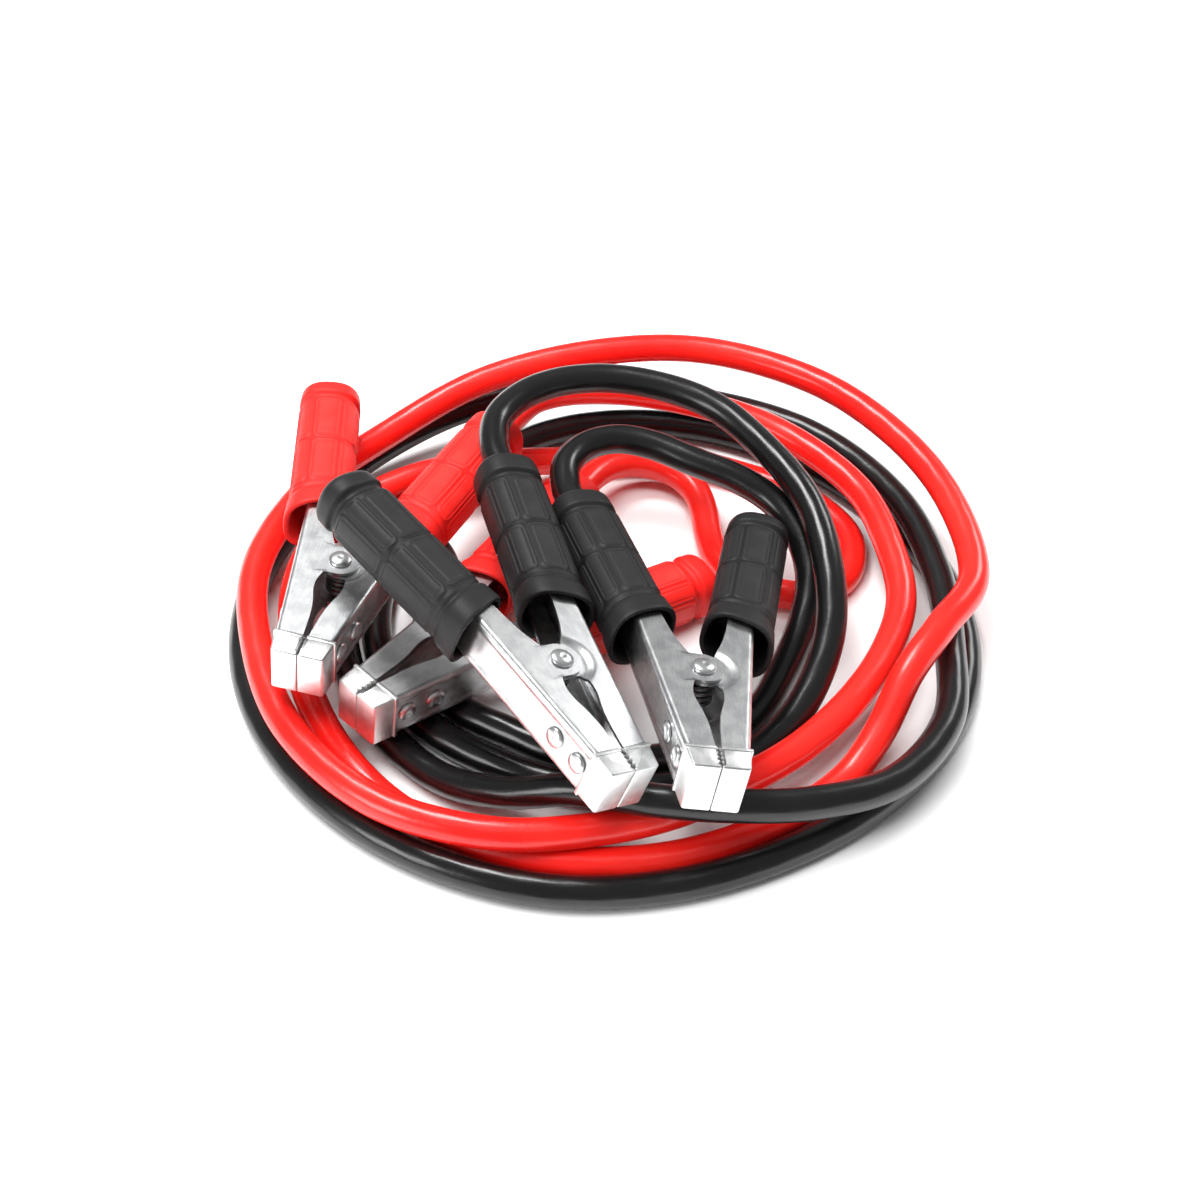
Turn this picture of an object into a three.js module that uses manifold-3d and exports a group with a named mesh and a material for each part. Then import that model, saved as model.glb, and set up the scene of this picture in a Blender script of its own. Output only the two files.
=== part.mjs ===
// A set of two jumper cables, one red and one black, wound together as a loose coil,
// with four spring clamps lying on it. Millimetres, +Z up, floor at z = 0.
import * as THREE from "three";
import * as BufferGeometryUtils from "three/addons/utils/BufferGeometryUtils.js";
import Module from "manifold-3d";

const wasm = await Module();
wasm.setup();

// Driving dimensions, millimetres and degrees
const GAP = 0.3;                  // clearance between pieces that touch
const FUSE = 0.1;                 // how far joined shapes run into each other
const CABLE_DIAMETER = 14;
const CABLE_SIDES = 8;
const CABLE_STEP = 33;            // length of one straight step of a cable

const SHEET = 1.3;                // sheet steel of the arms
const ARM_WIDTH = 22;             // outside width of an arm's channel
const JAW_REACH = 60;             // pivot to the front of the nose
const NOSE_DEPTH = 11;            // centre line to the arm's back at the nose
const ARM_ANGLE = 9;              // arm against the centre line
const MOUTH_BACK = 31;            // pivot to the grip's mouth
const HANDLE_ANGLE = 14;          // grip against the centre line
const HANDLE_INSET = 5.5;         // grip's axis under the arm's back

const SEAM_BACK = 12;             // nose front to the seam of the nose plate
const PLATE = 1.6;                // thickness of the nose plate
const TONGUE_LENGTH = 24;         // nose plate's tongue under the arm
const TONGUE_WIDTH = 13;
const TOOTH_DEPTH = 0.9;
const TOOTH_PITCH = 2.4;

const RIVET_HEAD = 4.4;           // radius of a rivet's head
const RIVET_SHANK = 1.8;
const RIVET_RISE = 1.9;
const RIVET_FIRST = 17;           // nose front to the first rivet
const RIVET_PITCH = 14;

const EAR_RADIUS = 8.6;
const EAR_ARC = [32, -212];       // clock angles of an outer ear's rim
const INNER_EAR_ARC = [20, -200];
const EAR_ROOT = 5;               // how far an ear's strip goes past the ear
const EAR_ROOT_HALF = 11;
const JOGGLE_INSET = 1;           // the step between the side plate and an inner ear
const JOGGLE_THICK = 3;
const PIN_RADIUS = 2.7;
const PIN_HEAD = 5;
const PIN_HEAD_RISE = 2.1;
const PIN_HEAD_EDGE = 0.5;        // height of the head's straight rim

const SPRING_WIRE = 2.2;
const SPRING_RADIUS = 5.6;        // pin's axis to the middle of the wire
const SPRING_PITCH = 2.6;
const SPRING_TURNS = 4;
const SPRING_LEG = 15;
const SPRING_BEND = 4;            // straight wire kept where a leg leaves the turns
const SPRING_START = 150;         // clock angle where the first leg leaves

const GRIP_LENGTH = 93;
const GRIP_WIDTH = 28.5;          // across the handles
const GRIP_HEIGHT = 26.5;         // along the pivot
const COLLAR_WIDTH = 31.5;
const COLLAR_LENGTH = 12;
const GROOVE_FROM_END = 15;
const GROOVE_WIDTH = 2.4;
const GROOVE_DEPTH = 1.6;
const MOUTH_SLANT = 12.5;         // degrees, skirt longer on the outer side
const SOCKET_DEPTH = 8;           // how far the channel goes into the grip
const TANG_LENGTH = 58;
const TANG_WIDTH = 13;
const TANG_THICKNESS = 6;
const CABLE_ENTRY = 14;           // how far the cable goes into the grip
const CABLE_LEAD = [3, 16];       // straight stretch of cable past the grip's end
const TANG_ROOT = 6;              // how far the tang starts before the handle's mouth

const NOTCH_RADIUS = 3;
const COIL_MIDDLE = [-2.6, -7.5, -0.45];   // coil's middle on the floor, from the part's origin
const TURN = 360;
const DEG = Math.PI / 180;

// Each clamp: its pins, which side takes the cable (-1 or 1), and where it lies
const CLAMPS = [
  { name: "black_clamp_1", colour: "black", cableSide: 1,
    place: [-19, -89.5, 65.5], heading: -60.5, pitch: 8.5, roll: -18 },
  { name: "black_clamp_2", colour: "black", cableSide: -1,
    place: [39.5, -93, 63], heading: -86, pitch: -6.5, roll: -11 },
  { name: "red_clamp_1", colour: "red", cableSide: 1,
    place: [-114, -14, 51], heading: -101.5, pitch: 0, roll: -6.5 },
  { name: "red_clamp_2", colour: "red", cableSide: -1,
    place: [-62, -34, 27.5], heading: -133, pitch: -5, roll: -4 },
];

const MATERIALS = {
  steel: new THREE.MeshStandardMaterial({ color: 0xb9bbba, roughness: 0.25, metalness: 1 }),
  plate: new THREE.MeshStandardMaterial({ color: 0xd4d5d3, roughness: 0.2, metalness: 1 }),
  pin: new THREE.MeshStandardMaterial({ color: 0xa9abaa, roughness: 0.3, metalness: 1 }),
  spring: new THREE.MeshStandardMaterial({ color: 0x6d6f70, roughness: 0.35, metalness: 1 }),
  red: new THREE.MeshStandardMaterial({ color: 0xe8261c, roughness: 0.35, metalness: 0 }),
  black: new THREE.MeshStandardMaterial({ color: 0x17181a, roughness: 0.4, metalness: 0 }),
};

// Solids and booleans
function toSolid(geometry) {
  const plain = geometry.index ? geometry.toNonIndexed() : geometry.clone();
  plain.deleteAttribute("normal");
  plain.deleteAttribute("uv");
  const merged = BufferGeometryUtils.mergeVertices(plain, 1e-4);
  return new wasm.Manifold(new wasm.Mesh({
    numProp: 3,
    vertProperties: new Float32Array(merged.attributes.position.array),
    triVerts: new Uint32Array(merged.index.array),
  }));
}

function toGeometry(solid) {
  const mesh = solid.getMesh();
  const geometry = new THREE.BufferGeometry();
  geometry.setAttribute("position", new THREE.BufferAttribute(new Float32Array(mesh.vertProperties), 3));
  geometry.setIndex(new THREE.BufferAttribute(new Uint32Array(mesh.triVerts), 1));
  geometry.computeVertexNormals();
  return geometry;
}

function joined(solids) {
  return solids.reduce((whole, piece) => whole.add(piece));
}

// A flat outline in x and y, thick from z = low to z = high
function slab(points, low, high, holes = []) {
  const shape = new THREE.Shape(points.map(([x, y]) => new THREE.Vector2(x, y)));
  for (const hole of holes) {
    shape.holes.push(new THREE.Path(hole.map(([x, y]) => new THREE.Vector2(x, y))));
  }
  const geometry = new THREE.ExtrudeGeometry(shape, { depth: high - low, bevelEnabled: false });
  return toSolid(geometry.translate(0, 0, low));
}

function arcPoints(x, y, radius, from, to, steps) {
  const points = [];
  for (let i = 0; i <= steps; i++) {
    const angle = (from + (to - from) * i / steps) * DEG;
    points.push([x + radius * Math.cos(angle), y + radius * Math.sin(angle)]);
  }
  return points;
}

function rod(radius, length, sides = 16) {
  return new THREE.CylinderGeometry(radius, radius, length, sides);
}

// The arm's back line and handle line, for the arm on side y > 0
const armTan = Math.tan(ARM_ANGLE * DEG);
const backAt = (x) => NOSE_DEPTH + (JAW_REACH - x) * armTan;
const armDown = [-Math.sin(ARM_ANGLE * DEG), -Math.cos(ARM_ANGLE * DEG)];
const seamX = JAW_REACH - SEAM_BACK;
const channelEndX = -MOUTH_BACK - SOCKET_DEPTH;
const handleStart = [-MOUTH_BACK, backAt(-MOUTH_BACK) - HANDLE_INSET];
const handleAlong = [-Math.cos(HANDLE_ANGLE * DEG), Math.sin(HANDLE_ANGLE * DEG)];
const handleAcross = [Math.sin(HANDLE_ANGLE * DEG), Math.cos(HANDLE_ANGLE * DEG)];

// A point u along the handle from its mouth and v outwards from its axis
function onHandle(u, v) {
  return [
    handleStart[0] + handleAlong[0] * u + handleAcross[0] * v,
    handleStart[1] + handleAlong[1] * u + handleAcross[1] * v,
  ];
}

const onSide = (points, side) => points.map(([x, y]) => [x, y * side]);

function sheetLine(fromX, toX, drop, thick) {
  const at = (x, down) => [x + armDown[0] * down, backAt(x) + armDown[1] * down];
  return [at(fromX, drop), at(toX, drop), at(toX, drop + thick), at(fromX, drop + thick)];
}

// The side plate of an arm: jaw edge, window edge, ear clearance and channel edge
const CHANNEL_DEPTH = 11;
const JAW_EDGE_Y = 1.2;
const WINDOW_EDGE = [[30, 2.6], [17, 7]];
const FLANGE_REAR = [-19, 13];    // where the side plate's rear edge starts, and its depth
const OVERSHOOT = 10;             // how far a hole's cutter reaches past the sheet
const CUT_REACH = 30;             // half the size of the cutter that slants the mouth
function flangeOutline(earHere) {
  const clear = EAR_RADIUS + 2 * GAP;
  const inner = earHere
    ? arcPoints(0, 0, EAR_RADIUS, ...EAR_ARC, 16)
    : arcPoints(0, 0, clear, 40, 140, 8);
  return [
    [seamX - GAP, backAt(seamX - GAP)],
    [seamX - GAP, JAW_EDGE_Y],
    ...WINDOW_EDGE,
    ...inner,
    [FLANGE_REAR[0], backAt(FLANGE_REAR[0]) - FLANGE_REAR[1]],
    [channelEndX, backAt(channelEndX) - CHANNEL_DEPTH],
    [channelEndX, backAt(channelEndX)],
  ];
}

function arm(side, earsOutside) {
  const half = ARM_WIDTH / 2;
  const pieces = [
    slab(onSide(sheetLine(seamX - GAP, channelEndX, 0, SHEET), side), -half, half),
  ];
  for (const face of [-1, 1]) {
    const outer = [face * half, face * (half - SHEET)].sort((a, b) => a - b);
    pieces.push(slab(onSide(flangeOutline(earsOutside), side), outer[0], outer[1]));
    if (!earsOutside) {
      const step = half - SHEET - GAP;
      const inner = [face * step, face * (step - SHEET)].sort((a, b) => a - b);
      const ear = [
        ...arcPoints(0, 0, EAR_RADIUS, ...INNER_EAR_ARC, 16),
        [-EAR_ROOT_HALF, EAR_RADIUS + EAR_ROOT], [EAR_ROOT_HALF, EAR_RADIUS + EAR_ROOT],
      ];
      pieces.push(slab(onSide(ear, side), inner[0], inner[1]));
      const reach = EAR_ROOT_HALF - JOGGLE_INSET;
      const top = EAR_RADIUS + EAR_ROOT;
      const low = top - JOGGLE_THICK;
      const joggle = [[-reach, low], [reach, low], [reach, top], [-reach, top]];
      const span = [face * (half - FUSE), face * (step - SHEET + FUSE)].sort((a, b) => a - b);
      pieces.push(slab(onSide(joggle, side), span[0], span[1]));
    }
  }
  const tang = [
    onHandle(-TANG_ROOT, -TANG_THICKNESS / 2), onHandle(TANG_LENGTH, -TANG_THICKNESS / 2),
    onHandle(TANG_LENGTH, TANG_THICKNESS / 2), onHandle(-TANG_ROOT, TANG_THICKNESS / 2),
  ];
  pieces.push(slab(onSide(tang, side), -TANG_WIDTH / 2, TANG_WIDTH / 2));
  const web = [
    [channelEndX, backAt(channelEndX) - SHEET / 2], [channelEndX + 5, backAt(channelEndX + 5) - SHEET / 2],
    onHandle(3, 0), onHandle(SOCKET_DEPTH, 0),
  ];
  pieces.push(slab(onSide(web, side), -TANG_WIDTH / 2, TANG_WIDTH / 2));
  let body = joined(pieces);
  const pinHole = rod(PIN_RADIUS + GAP, ARM_WIDTH + OVERSHOOT).rotateX(90 * DEG);
  body = body.subtract(toSolid(pinHole));
  for (const place of rivetPlaces()) {
    body = body.subtract(toSolid(stoodOnBack(rod(RIVET_SHANK + GAP, OVERSHOOT, 8), place, side)));
  }
  const notchX = NOTCH_RADIUS / 3 - MOUTH_BACK - 2;
  const notch = rod(NOTCH_RADIUS, OVERSHOOT).translate(notchX, side * backAt(-MOUTH_BACK), 0);
  return body.subtract(toSolid(notch));
}

// Places along the arm's back, and a shape with its axis along y stood there
function rivetPlaces() {
  return [0, 1].map((i) => JAW_REACH - RIVET_FIRST - RIVET_PITCH * i);
}

function stoodOnBack(geometry, x, side) {
  const turned = geometry.clone();
  if (side < 0) turned.rotateX(180 * DEG);
  return turned.rotateZ(-side * ARM_ANGLE * DEG).translate(x, side * backAt(x), 0);
}

// The nose plate: a bent cap over the jaw's tip with a riveted tongue behind it
function nosePlate(side) {
  const half = ARM_WIDTH / 2;
  const outline = [
    [seamX, backAt(seamX)], [JAW_REACH - 1.5, backAt(JAW_REACH - 1.5)], [JAW_REACH, backAt(JAW_REACH) - 1.5],
    [JAW_REACH, GAP / 2], [seamX, GAP / 2],
  ];
  const pocket = [
    [seamX - 1, backAt(seamX - 1) - PLATE], [JAW_REACH - PLATE, backAt(JAW_REACH - PLATE) - PLATE],
    [JAW_REACH - PLATE, PLATE + GAP], [seamX - 1, PLATE + GAP],
  ];
  let cap = slab(onSide(outline, side), -half, half);
  cap = cap.subtract(slab(onSide(pocket, side), -half + PLATE, half - PLATE));
  const tongueDrop = SHEET + GAP;
  const tongue = sheetLine(seamX + 3, seamX - TONGUE_LENGTH, tongueDrop, PLATE);
  const joggle = sheetLine(seamX + 3, seamX, PLATE / 2, tongueDrop + PLATE / 2);
  for (const strip of [tongue, joggle]) {
    cap = cap.add(slab(onSide(strip, side), -TONGUE_WIDTH / 2, TONGUE_WIDTH / 2));
  }
  const teeth = Math.floor((SEAM_BACK - 2) / TOOTH_PITCH);
  for (let i = 0; i < teeth; i++) {
    const x = JAW_REACH - 1.4 - TOOTH_PITCH * i;
    const notch = [[x, 0], [x - TOOTH_PITCH * 0.7, 0], [x - TOOTH_PITCH * 0.35, GAP / 2 + TOOTH_DEPTH]];
    cap = cap.subtract(slab(onSide(notch, side), -half - 1, half + 1));
  }
  for (const place of rivetPlaces()) {
    cap = cap.subtract(toSolid(stoodOnBack(rod(RIVET_SHANK + GAP, OVERSHOOT, 8), place, side)));
  }
  return cap;
}

function rivet(x, side) {
  const low = SHEET + GAP + PLATE;
  const profile = [
    [0, -low], [RIVET_SHANK, -low], [RIVET_SHANK, GAP], [RIVET_HEAD, GAP],
    [RIVET_HEAD * 0.93, GAP + RIVET_RISE * 0.45], [RIVET_HEAD * 0.62, GAP + RIVET_RISE * 0.85],
    [0, GAP + RIVET_RISE],
  ].map(([r, y]) => new THREE.Vector2(r, y));
  return toSolid(stoodOnBack(new THREE.LatheGeometry(profile, 10), x, side));
}

function pivotPin() {
  const half = ARM_WIDTH / 2;
  const top = half + GAP;
  // the spacer in the middle stands between the inner ears and carries the spring's turns
  const spacer = SPRING_RADIUS - SPRING_WIRE / 2 - GAP;
  const spacerEnd = half - 2 * (SHEET + GAP);
  const upper = [
    [spacer, spacerEnd], [PIN_RADIUS, spacerEnd], [PIN_RADIUS, top], [PIN_HEAD, top],
    [PIN_HEAD, top + PIN_HEAD_EDGE], [PIN_HEAD * 0.6, top + PIN_HEAD_RISE * 0.85], [0, top + PIN_HEAD_RISE],
  ];
  const lower = upper.map(([r, y]) => [r, -y]).reverse();
  const profile = [...lower, ...upper].map(([r, y]) => new THREE.Vector2(r, y));
  return toSolid(new THREE.LatheGeometry(profile, 14).rotateX(90 * DEG));
}

// The torsion spring: turns round the pin, one leg on the cable side, one towards the free arm
function torsionSpring(cableSide) {
  const points = [];
  const steps = SPRING_TURNS * 10;
  const rise = SPRING_PITCH * SPRING_TURNS;
  const from = SPRING_START * cableSide;
  const sweep = -cableSide * (TURN * SPRING_TURNS - 2 * (180 - SPRING_START));
  const at = (angle, z) => new THREE.Vector3(
    SPRING_RADIUS * Math.cos(angle * DEG), SPRING_RADIUS * Math.sin(angle * DEG), z);
  for (let i = 0; i <= steps; i++) {
    points.push(at(from + sweep * i / steps, -rise / 2 + rise * i / steps));
  }
  const first = points[0];
  const last = points[points.length - 1];
  const outward = (p, q) => p.clone().sub(q).setZ(0).normalize();
  const startWay = outward(points[0], points[1]);
  const endWay = outward(last, points[points.length - 2]);
  const route = [
    first.clone().addScaledVector(startWay, SPRING_LEG),
    first.clone().addScaledVector(startWay, SPRING_BEND),
    ...points,
    last.clone().addScaledVector(endWay, SPRING_BEND),
    last.clone().addScaledVector(endWay, SPRING_LEG),
  ];
  return tube(route, SPRING_WIRE / 2, 6, steps + 4);
}

function tube(points, radius, sides, steps) {
  const path = new THREE.CatmullRomCurve3(points, false, "centripetal");
  const section = new THREE.Shape(arcPoints(0, 0, radius, 0, TURN * (sides - 1) / sides, sides - 1)
    .map(([x, y]) => new THREE.Vector2(x, y)));
  return toSolid(new THREE.ExtrudeGeometry(section, { steps, extrudePath: path, bevelEnabled: false }));
}

// A moulded grip, turned about its own axis and pressed oval, with a socket for the arm
function grip(side, takesCable) {
  const wide = GRIP_WIDTH / 2;
  const grooveEnd = GRIP_LENGTH - GROOVE_FROM_END;
  const profile = [
    [0, -COLLAR_LENGTH], [COLLAR_WIDTH / 2, -COLLAR_LENGTH], [COLLAR_WIDTH / 2, 2],
    [wide + 0.6, COLLAR_LENGTH],
    [wide, COLLAR_LENGTH + 3], [wide, grooveEnd - GROOVE_WIDTH],
    [wide - GROOVE_DEPTH, grooveEnd - GROOVE_WIDTH / 2],
    [wide - GROOVE_DEPTH, grooveEnd + GROOVE_WIDTH / 2], [wide, grooveEnd + GROOVE_WIDTH],
    [wide * 0.98, GRIP_LENGTH - 6], [wide * 0.82, GRIP_LENGTH - 2.4], [wide * 0.5, GRIP_LENGTH - 0.4],
    [0, GRIP_LENGTH],
  ].map(([r, y]) => new THREE.Vector2(r, y));
  const turned = new THREE.LatheGeometry(profile, 18).scale(1, 1, GRIP_HEIGHT / GRIP_WIDTH);
  let body = toSolid(layOnHandle(turned, side));
  const slant = Math.tan(MOUTH_SLANT * DEG) * CUT_REACH;
  const cutaway = [
    onHandle(-CUT_REACH, -CUT_REACH), onHandle(-CUT_REACH, CUT_REACH),
    onHandle(-slant, CUT_REACH), onHandle(slant, -CUT_REACH),
  ];
  body = body.subtract(slab(onSide(cutaway, side), -CUT_REACH, CUT_REACH));
  const half = ARM_WIDTH / 2 + GAP;
  const channel = [
    [0, backAt(0) + GAP], [0, backAt(0) - FLANGE_REAR[1]],
    [channelEndX - GAP, backAt(channelEndX) - CHANNEL_DEPTH - GAP],
    [channelEndX - GAP, backAt(channelEndX) + GAP],
  ];
  body = body.subtract(slab(onSide(channel, side), -half, half));
  const slot = TANG_THICKNESS / 2 + GAP;
  const tang = [
    onHandle(0, -slot), onHandle(TANG_LENGTH + GAP, -slot),
    onHandle(TANG_LENGTH + GAP, slot), onHandle(0, slot),
  ];
  body = body.subtract(slab(onSide(tang, side), -TANG_WIDTH / 2 - GAP, TANG_WIDTH / 2 + GAP));
  if (takesCable) {
    const depth = CABLE_ENTRY + GAP + OVERSHOOT;
    const middle = GRIP_LENGTH + OVERSHOOT - depth / 2;
    const bore = rod(CABLE_DIAMETER / 2 + GAP, depth, 20).translate(0, middle, 0);
    body = body.subtract(toSolid(layOnHandle(bore, side)));
  }
  return body;
}

// Turns a shape whose axis is +y so that it runs along the handle from the mouth
function layOnHandle(geometry, side) {
  const along = new THREE.Vector3(handleAlong[0], side * handleAlong[1], 0);
  const turn = new THREE.Matrix4().makeRotationZ(Math.atan2(along.y, along.x) - 90 * DEG);
  return geometry.clone().applyMatrix4(turn).translate(handleStart[0], side * handleStart[1], 0);
}

function named(name, solid, material) {
  const mesh = new THREE.Mesh(toGeometry(solid), material);
  mesh.name = name;
  return mesh;
}

function clamp({ name, colour, cableSide, place, heading, pitch, roll }) {
  const group = new THREE.Group();
  group.position.set(...place);
  group.rotation.set(roll * DEG, pitch * DEG, heading * DEG, "ZYX");
  for (const side of [-1, 1]) {
    const which = side === cableSide ? "cable" : "free";
    const outside = side === -1;
    group.add(named(`${name}_${which}_arm`, arm(side, outside), MATERIALS.steel));
    group.add(named(`${name}_${which}_nose_plate`, nosePlate(side), MATERIALS.plate));
    rivetPlaces().forEach((x, i) => {
      group.add(named(`${name}_${which}_rivet_${i + 1}`, rivet(x, side), MATERIALS.pin));
    });
    group.add(named(`${name}_${which}_grip`, grip(side, side === cableSide), MATERIALS[colour]));
  }
  group.add(named(`${name}_pivot_pin`, pivotPin(), MATERIALS.pin));
  group.add(named(`${name}_spring`, torsionSpring(cableSide), MATERIALS.spring));
  return group;
}

// Where a clamp's cable starts inside its grip, and a point further out on the same line
function cableStart(item) {
  const frame = new THREE.Matrix4().makeRotationFromEuler(
    new THREE.Euler(item.roll * DEG, item.pitch * DEG, item.heading * DEG, "ZYX"));
  frame.setPosition(...item.place);
  return [-CABLE_ENTRY, ...CABLE_LEAD].map((past) => {
    const [x, y] = onHandle(GRIP_LENGTH + past, 0);
    return new THREE.Vector3(x, y * item.cableSide, 0).applyMatrix4(frame);
  });
}

// The cables' routes: [clock angle, radius, height] round the coil's middle
const BLACK_ROUTE = [
  // from black clamp 1 over the back, down the right, then round the inside on the floor
  [124, 86, 72.5], [114, 96, 73], [103, 103, 72.5], [90, 107, 71], [76, 107, 69.5], [60, 106, 66.5],
  [44, 102, 62], [20, 101, 55], [358, 102, 46],
  [340, 106, 34], [321, 107, 19], [302, 104, 9], [280, 101, 8], [258, 97, 8], [238, 95, 8], [222, 97, 8],
  [207, 99, 8], [193, 101, 8], [176, 104, 8], [160, 108, 8], [144, 114, 8], [130, 122, 8], [116, 134, 8],
  [100, 148, 8],
  // the outermost turn on the floor
  [84, 156, 7.5], [66, 160, 7.5], [48, 161, 7.5], [30, 163, 7.5], [12, 166, 7.5], [354, 167, 7.5],
  [338, 165, 7.5], [320, 158, 7.5], [302, 153, 7.5], [282, 152, 7.5], [262, 153, 7.5], [242, 153, 7.5],
  [222, 155, 7.5], [202, 159, 7.5], [184, 163, 7.5], [166, 166, 7.5], [148, 167, 9], [130, 166, 15],
  // a second outer turn on top of it, then inwards over the red at the front
  [112, 165, 21], [92, 163, 22], [72, 163, 22], [50, 166, 22], [28, 163, 22], [8, 158, 22], [350, 158, 22],
  [334, 165, 22], [318, 163, 25], [304, 152, 31], [292, 141, 35], [280, 130, 35], [266, 119, 31],
  [250, 116, 18], [234, 115, 9], [212, 115, 8], [196, 116, 9],
  // turned back on the left, then round the inside to black clamp 2
  [184, 118, 15], [175, 120, 19.5], [167, 121, 22], [160, 119, 23.5], [154, 108, 24], [153, 91, 23.5],
  [160, 77, 21], [170, 76, 16], [184, 80, 10.5], [198, 82, 8],
  [208, 83, 8], [222, 80, 8], [238, 77, 8], [258, 80, 8], [280, 84, 8], [300, 88, 8], [320, 88, 8],
  [338, 88, 13], [352, 92, 22], [4, 96, 31], [16, 96, 39], [28, 93, 45], [40, 86, 50], [56, 79, 53],
  [72, 79, 55.5], [84, 78, 57], [95, 72, 57.5], [105, 60, 57.5],
];
const RED_ROUTE = [
  // from red clamp 2 on the floor inside the coil, then the floor turn
  [86, 108, 17], [79, 114, 14.5], [71, 114, 12], [64, 108, 9.5], [58, 97, 8], [51, 84, 7.5], [42, 75, 7.5],
  [31, 73, 7.5], [20, 80, 7.5],
  [13, 98, 7.5], [16, 120, 7.5],
  [27, 136, 7.5], [42, 138, 7.5], [58, 132, 7.5], [76, 129, 8], [96, 121, 10], [116, 117, 20], [134, 126, 24],
  [150, 138, 22], [168, 141, 22], [190, 138, 22], [212, 137, 12], [234, 138, 7.5], [258, 138, 7.5],
  [280, 138, 7.5], [300, 138, 7.5], [318, 140, 9], [328, 141, 18], [338, 143, 32], [348, 152, 38],
  // over the top at the back, then the outer red on the left and front
  [0, 168, 38], [18, 173, 40], [34, 175, 43], [52, 177, 45], [72, 174, 46], [90, 164, 46], [112, 159, 40],
  [134, 157, 30], [152, 160, 28], [172, 160, 27], [190, 155, 25], [210, 153, 23], [232, 149, 22],
  [252, 141, 22], [268, 131, 20.2], [284, 125, 20], [300, 120, 20], [314, 121, 21], [330, 124, 22],
  [346, 130, 22], [0, 137, 24],
  // the inner turn up the right and over to red clamp 1
  [14, 140, 26], [32, 146, 28], [54, 146, 32], [74, 140, 38], [92, 134, 44], [104, 128, 46],
];

function stations(route) {
  return route.map(([angle, radius, height]) => new THREE.Vector3(
    radius * Math.cos(angle * DEG), radius * Math.sin(angle * DEG), height));
}

function cable(from, route, to) {
  const points = [...cableStart(from), ...stations(route), ...cableStart(to).reverse()];
  const path = new THREE.CatmullRomCurve3(points, false, "centripetal");
  const steps = Math.round(path.getLength() / CABLE_STEP);
  return tube(points, CABLE_DIAMETER / 2, CABLE_SIDES, steps);
}

const jumperCables = new THREE.Group();
jumperCables.position.set(...COIL_MIDDLE);
for (const item of CLAMPS) jumperCables.add(clamp(item));
jumperCables.add(named("black_cable", cable(CLAMPS[0], BLACK_ROUTE, CLAMPS[1]), MATERIALS.black));
jumperCables.add(named("red_cable", cable(CLAMPS[3], RED_ROUTE, CLAMPS[2]), MATERIALS.red));

export default jumperCables;
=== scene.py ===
"""The looks of a jumper cable set: a red and a black cable wound into one loose coil, with four
spring clamps lying on it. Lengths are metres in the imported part's frame. A clamp's own shapes are
worked out in millimetres round its pivot, nose towards +x, pin along z, and placed by its pose."""
import math
import bmesh
import bpy
import numpy as np
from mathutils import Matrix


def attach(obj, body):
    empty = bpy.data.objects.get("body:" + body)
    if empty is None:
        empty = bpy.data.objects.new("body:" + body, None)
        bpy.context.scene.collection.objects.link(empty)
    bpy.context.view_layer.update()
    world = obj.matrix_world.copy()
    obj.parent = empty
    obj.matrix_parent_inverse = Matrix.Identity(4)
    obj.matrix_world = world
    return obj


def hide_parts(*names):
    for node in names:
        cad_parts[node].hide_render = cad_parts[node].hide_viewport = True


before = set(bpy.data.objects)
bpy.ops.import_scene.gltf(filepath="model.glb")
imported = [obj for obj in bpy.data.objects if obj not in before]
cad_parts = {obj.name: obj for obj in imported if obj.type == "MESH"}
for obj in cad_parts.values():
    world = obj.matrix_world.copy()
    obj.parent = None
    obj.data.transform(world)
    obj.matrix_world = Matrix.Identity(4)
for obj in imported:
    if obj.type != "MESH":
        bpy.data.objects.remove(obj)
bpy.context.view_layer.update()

MM = .001
ROOT = "cables_and_fixed_sides"
COIL_MIDDLE = np.array((-.0026, -.0075, -.00045))

# the clamps, as the part has them: side that takes the cable, place, heading, pitch, roll
CLAMPS = {
    "black_clamp_1": ("black", 1, (-.019, -.0895, .0655), -60.5, 8.5, -18),
    "black_clamp_2": ("black", -1, (.0395, -.093, .063), -86, -6.5, -11),
    "red_clamp_1": ("red", 1, (-.114, -.014, .051), -101.5, 0, -6.5),
    "red_clamp_2": ("red", -1, (-.062, -.034, .0275), -133, -5, -4),
}

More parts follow.
